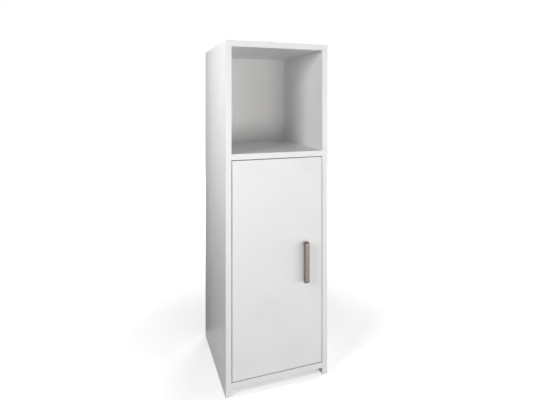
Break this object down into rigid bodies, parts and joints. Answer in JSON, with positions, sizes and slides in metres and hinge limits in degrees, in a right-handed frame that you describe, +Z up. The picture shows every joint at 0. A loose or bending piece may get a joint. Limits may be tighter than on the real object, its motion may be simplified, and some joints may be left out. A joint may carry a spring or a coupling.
{
  "type": "tall bathroom cabinet",
  "caption": "Tall slim white bathroom cabinet with an open niche above an inset door on concealed hinges and an adjustable shelf inside.",
  "frame": {"origin": "middle of the footprint, handle included, on the floor", "axes": "+Z up along the height, the front faces -Y, +X is to the right of someone facing the front"},
  "size_m": [0.3, 0.319, 0.95],
  "materials": {
    "white_board": "white melamine-faced particle board",
    "back_board": "white-faced hardboard",
    "satin_nickel": "satin nickel",
    "nickel_plate": "bright nickel plate",
    "zinc": "die-cast zinc",
    "plated_steel": "zinc plate",
    "beech": "fluted beech",
    "white_plastic": "moulded"
  },
  "bodies": {
    "cabinet": {"adjustable_shelf": "white_board", "back_panel": "back_board", "back_panel_nails": "plated_steel", "bottom_cam_bolts": "plated_steel", "bottom_cams": "zinc", "bottom_dowels": "beech", "bottom_panel": "white_board", "cam_covers": "white_plastic", "door_stop": "white_plastic", "door_stop_screw": "plated_steel", "fixed_shelf": "white_board", "fixed_shelf_cam_bolts": "plated_steel", "fixed_shelf_cams": "zinc", "fixed_shelf_dowels": "beech", "hinge_arm_pins": "plated_steel", "hinge_arm_screws": "plated_steel", "hinge_plate_screws": "plated_steel", "left_side_panel": "white_board", "lower_hinge_arm": "nickel_plate", "lower_hinge_plate": "nickel_plate", "right_side_panel": "white_board", "shelf_pins": "plated_steel", "top_cam_bolts": "plated_steel", "top_cams": "zinc", "top_dowels": "beech", "top_panel": "white_board", "upper_hinge_arm": "nickel_plate", "upper_hinge_plate": "nickel_plate"},
    "outer_links": {"lower_outer_link": "nickel_plate", "upper_outer_link": "nickel_plate"},
    "inner_links": {"lower_inner_link": "nickel_plate", "upper_inner_link": "nickel_plate"},
    "door": {"door_panel": "white_board", "handle_bar": "satin_nickel", "handle_posts": "satin_nickel", "handle_screws": "plated_steel", "hinge_cup_pins": "plated_steel", "hinge_cup_screws": "plated_steel", "lower_hinge_cup": "nickel_plate", "upper_hinge_cup": "nickel_plate"}
  },
  "joints": [
    {"name": "outer_link_pivot", "type": "hinge", "parent": "cabinet", "child": "outer_links", "pos_m": [-0.1036, -0.1103, 0.33325], "axis": [0, 0, 1], "range_deg": [0, 31.6]},
    {"name": "inner_link_pivot", "type": "hinge", "parent": "cabinet", "child": "inner_links", "pos_m": [-0.1006, -0.1227, 0.33325], "axis": [0, 0, 1], "range_deg": [0, 27.1]},
    {"name": "door_swing", "type": "hinge", "parent": "outer_links", "child": "door", "pos_m": [-0.123, -0.1284, 0.33325], "axis": [0, 0, -1], "range_deg": [0, 121.5]}
  ],
  "couplings": [
    {"joint": "outer_link_pivot", "follows": "door_swing", "ratio": 0.25926},
    {"joint": "inner_link_pivot", "follows": "door_swing", "ratio": 0.22222}
  ]
}
